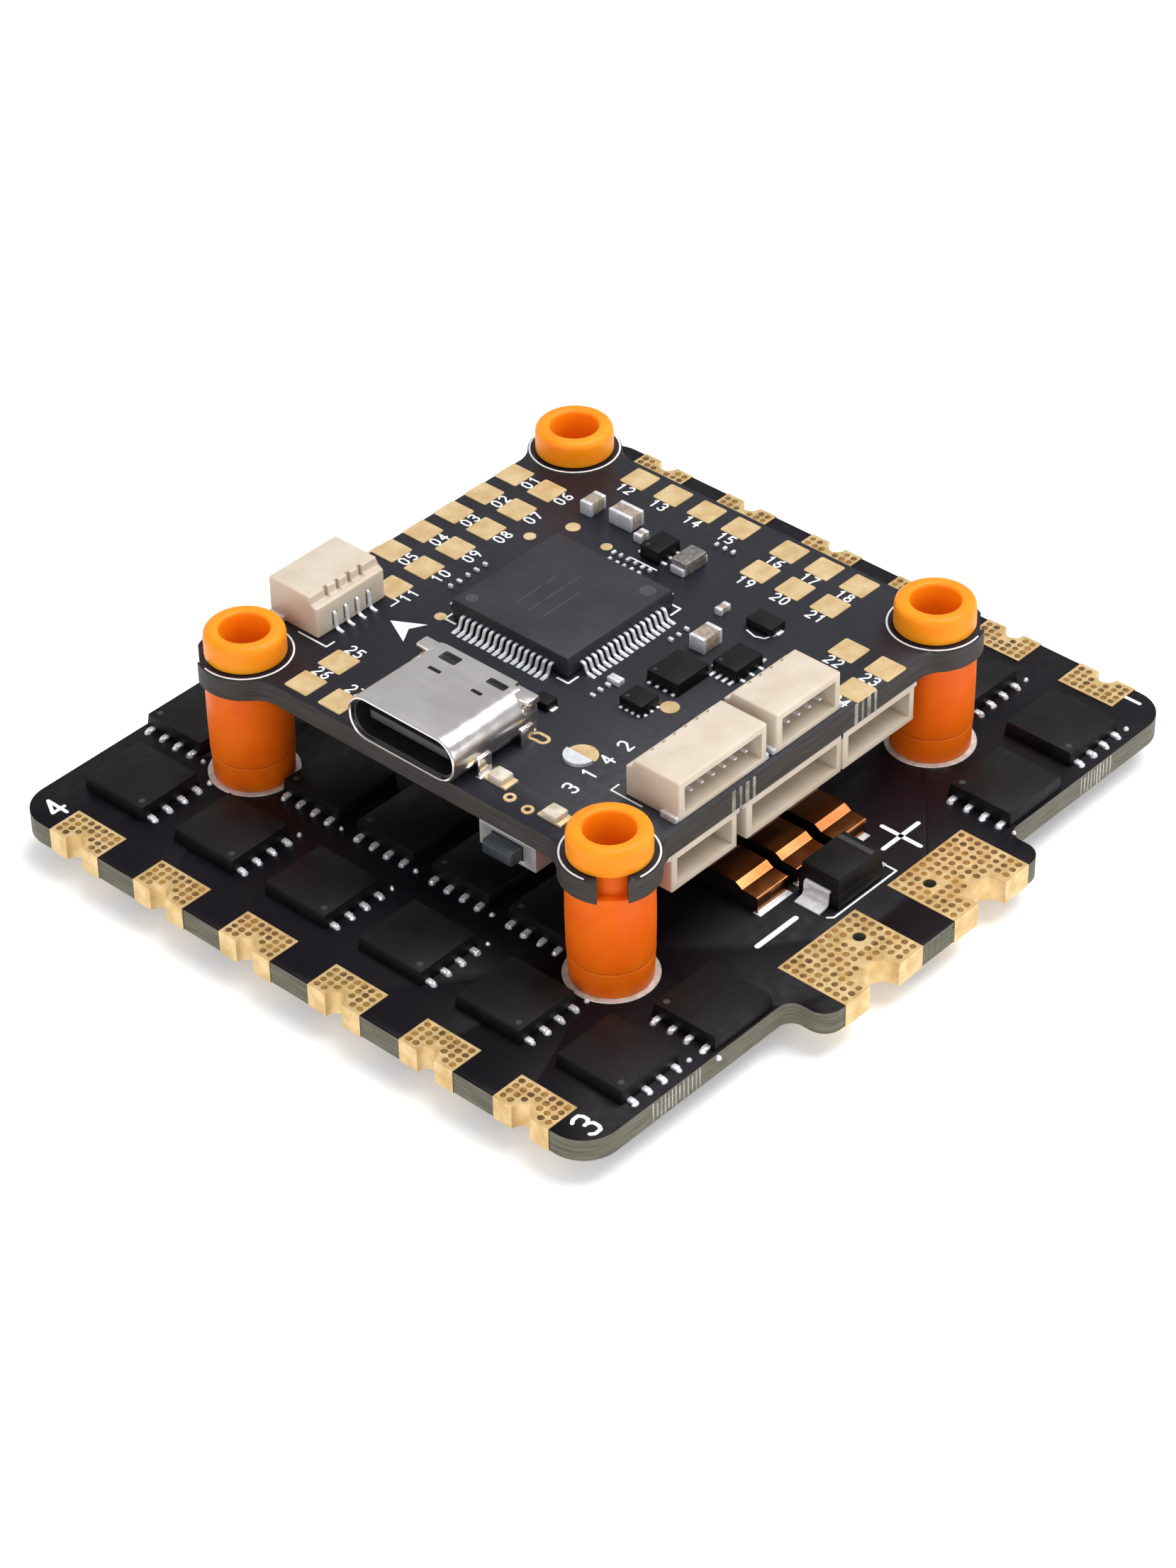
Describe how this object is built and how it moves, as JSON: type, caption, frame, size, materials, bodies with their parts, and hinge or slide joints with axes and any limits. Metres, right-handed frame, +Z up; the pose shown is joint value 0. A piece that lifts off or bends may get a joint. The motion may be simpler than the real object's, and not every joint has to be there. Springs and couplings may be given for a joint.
{
  "type": "electronic speed controller",
  "caption": "Stacked multirotor controller: a speed controller board with edge pads for motors and battery, and a flight controller board above it on soft orange grommets.",
  "frame": {"origin": "centre of the 30.5 mm screw pattern, on the plane that the lowest grommet faces rest on", "axes": "+Z up through the stack, +Y to the front of the craft (battery tab at the back), +X to the right"},
  "size_m": [0.0562, 0.0518, 0.016],
  "materials": {
    "esc_solder_mask": "matte black solder mask on glass-fibre board",
    "fc_solder_mask": "matte black solder mask on glass-fibre board",
    "gold_plating": "immersion gold over copper, satin",
    "ring_plating": "tinned copper ring",
    "black_moulding": "moulded epoxy, matte",
    "tinned_leads": "tinned copper leads",
    "brown_ceramic": "glossy fired ceramic",
    "connector_nylon": "natural nylon, satin",
    "nickel_shell": "nickel-plated drawn shell",
    "insulator_black": "moulded liquid-crystal polymer",
    "orange_silicone": "soft translucent silicone",
    "lens_resin": "clear resin",
    "button_resin": "moulded button",
    "button_steel": "tinned steel frame",
    "tan_ceramic": "fired ceramic with metal ends"
  },
  "bodies": {
    "stack": {"battery_pads": "gold_plating", "bulk_capacitor_ends": "tinned_leads", "bulk_capacitors": "brown_ceramic", "button_frame": "button_steel", "button_spring": "button_steel", "current_amplifier": "black_moulding", "esc_board": "esc_solder_mask", "esc_filter_capacitors": "tan_ceramic", "esc_grommet_front_left": "orange_silicone", "esc_grommet_front_right": "orange_silicone", "esc_grommet_rear_left": "orange_silicone", "esc_grommet_rear_right": "orange_silicone", "esc_microcontrollers": "black_moulding", "esc_mount_rings": "ring_plating", "esc_regulator": "black_moulding", "esc_signal_connector_contacts": "tinned_leads", "esc_signal_connector_housing": "connector_nylon", "fc_board": "fc_solder_mask", "fc_ceramic_capacitors": "tan_ceramic", "fc_grommet_front_left": "orange_silicone", "fc_grommet_front_right": "orange_silicone", "fc_grommet_rear_left": "orange_silicone", "fc_grommet_rear_right": "orange_silicone", "fc_mount_rings": "ring_plating", "fc_regulator": "black_moulding", "fc_solder_pads": "gold_plating", "front_connector_contacts": "tinned_leads", "front_connector_housing": "connector_nylon", "gate_drivers": "black_moulding", "gyro_sensor": "black_moulding", "inner_transistors": "black_moulding", "mcu_body": "black_moulding", "mcu_leads": "tinned_leads", "memory_chip": "black_moulding", "motor_pads": "gold_plating", "outer_transistors": "black_moulding", "protection_diodes": "black_moulding", "rear_left_connector_contacts": "tinned_leads", "rear_left_connector_housing": "connector_nylon", "rear_right_connector_contacts": "tinned_leads", "rear_right_connector_housing": "connector_nylon", "status_leds": "lens_resin", "tantalum_capacitor": "black_moulding", "tvs_body": "black_moulding", "tvs_leads": "tinned_leads", "under_left_connector_contacts": "tinned_leads", "under_left_connector_housing": "connector_nylon", "under_middle_connector_contacts": "tinned_leads", "under_middle_connector_housing": "connector_nylon", "under_right_connector_contacts": "tinned_leads", "under_right_connector_housing": "connector_nylon", "usb_contacts": "gold_plating", "usb_shell": "nickel_shell", "usb_tongue": "insulator_black", "video_overlay_chip": "black_moulding"},
    "boot_button": {"button_plunger": "button_resin"}
  },
  "joints": [
    {"name": "boot_button_press", "type": "slide", "parent": "stack", "child": "boot_button", "axis": [1, 0, 0], "range_m": [0, 0.00025], "stiffness_N_per_m": 8000}
  ]
}
